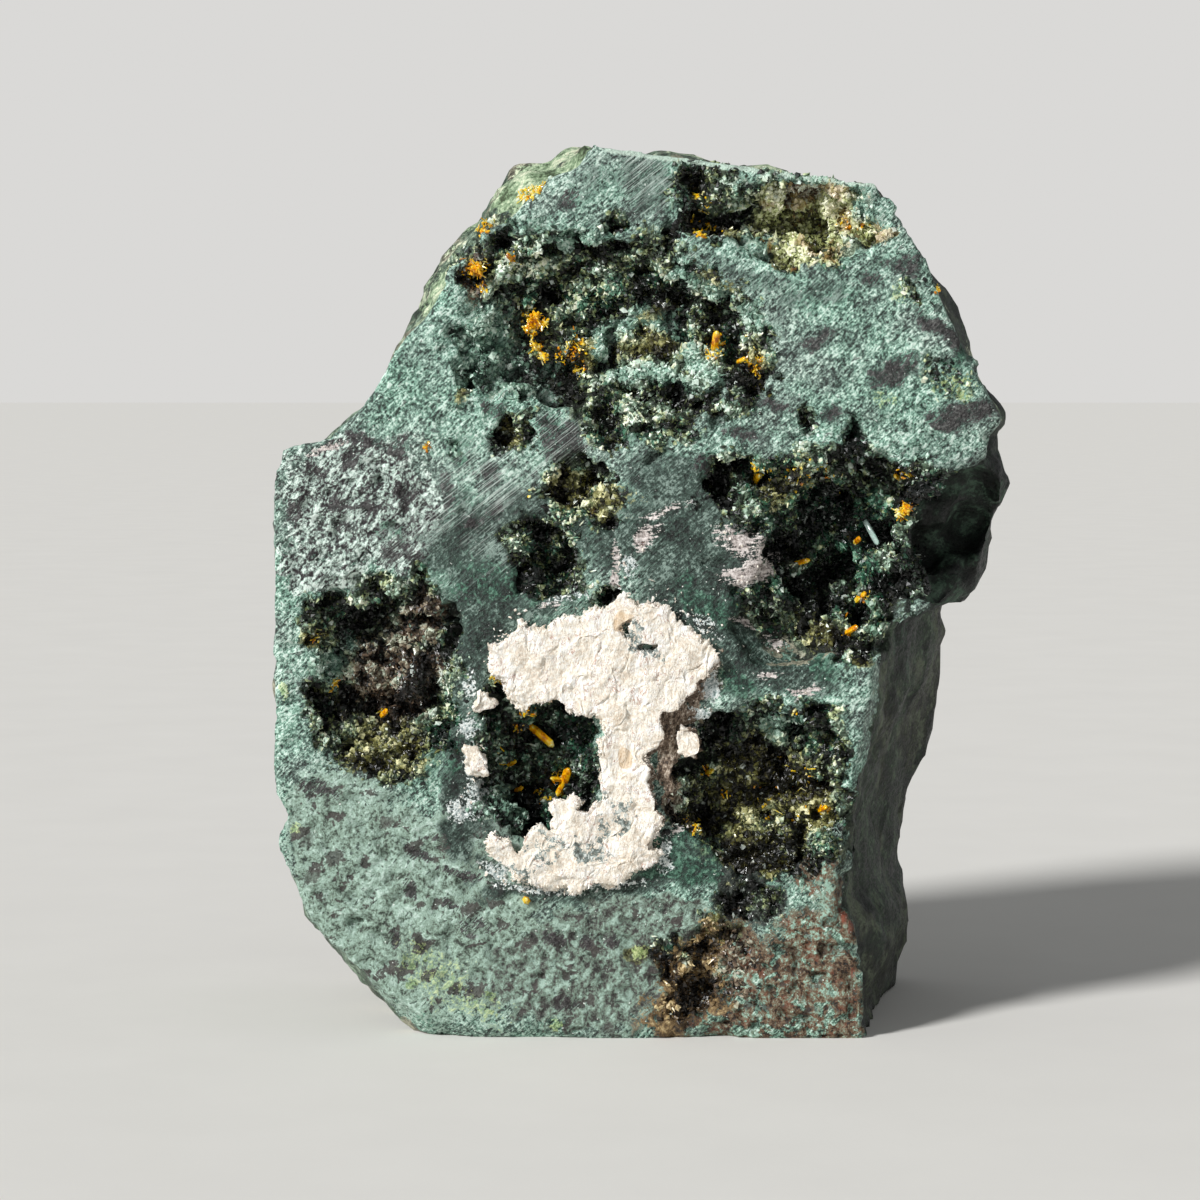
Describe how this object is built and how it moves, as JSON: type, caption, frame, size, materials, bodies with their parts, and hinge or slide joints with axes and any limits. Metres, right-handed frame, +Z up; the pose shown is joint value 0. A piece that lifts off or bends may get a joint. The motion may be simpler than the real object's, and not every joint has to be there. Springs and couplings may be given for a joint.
{
  "type": "mineral specimen",
  "caption": "Upright hand specimen of green malachite rock with a sawn face, a chalky white crust on it and orange kasolite prisms in its hollows; stands on a flat base.",
  "frame": {"origin": "middle of the footprint's box, on the surface that the specimen stands on", "axes": "+Z up, along the longest extent; -Y is the way the sawn face looks; +X to the right as the sawn face is seen"},
  "size_m": [0.0386, 0.0218, 0.0455],
  "materials": {
    "malachite": "matte",
    "chalky_crust": "matte",
    "kasolite": "gloss",
    "pale_glassy": "gloss"
  },
  "bodies": {
    "root": {"malachite_matrix": "malachite", "white_crust": "chalky_crust", "crust_fleck_upper": "chalky_crust", "crust_fleck_lower": "chalky_crust", "crust_lobe": "chalky_crust", "kasolite_prism_long": "kasolite", "kasolite_prism_upper": "kasolite", "kasolite_cluster_low": "kasolite", "kasolite_crystal_side": "kasolite", "kasolite_crystal_foot": "kasolite", "kasolite_rod_orange": "kasolite", "kasolite_cluster_rim": "kasolite", "kasolite_crystal_overhang": "kasolite", "kasolite_crystal_edge": "kasolite", "kasolite_crystal_sill": "kasolite", "kasolite_crystal_gold": "kasolite", "kasolite_crystal_pale": "kasolite", "kasolite_cluster_gold": "kasolite", "kasolite_cluster_tail": "kasolite", "kasolite_crystal_orange": "kasolite", "kasolite_crystal_right": "kasolite", "kasolite_cluster_crest": "kasolite", "kasolite_crystal_crest": "kasolite", "kasolite_crystal_hollow": "kasolite", "kasolite_crystal_corner": "kasolite", "kasolite_crystal_left": "kasolite", "kasolite_grain_amber": "kasolite", "pale_blade": "pale_glassy"}
  },
  "joints": []
}
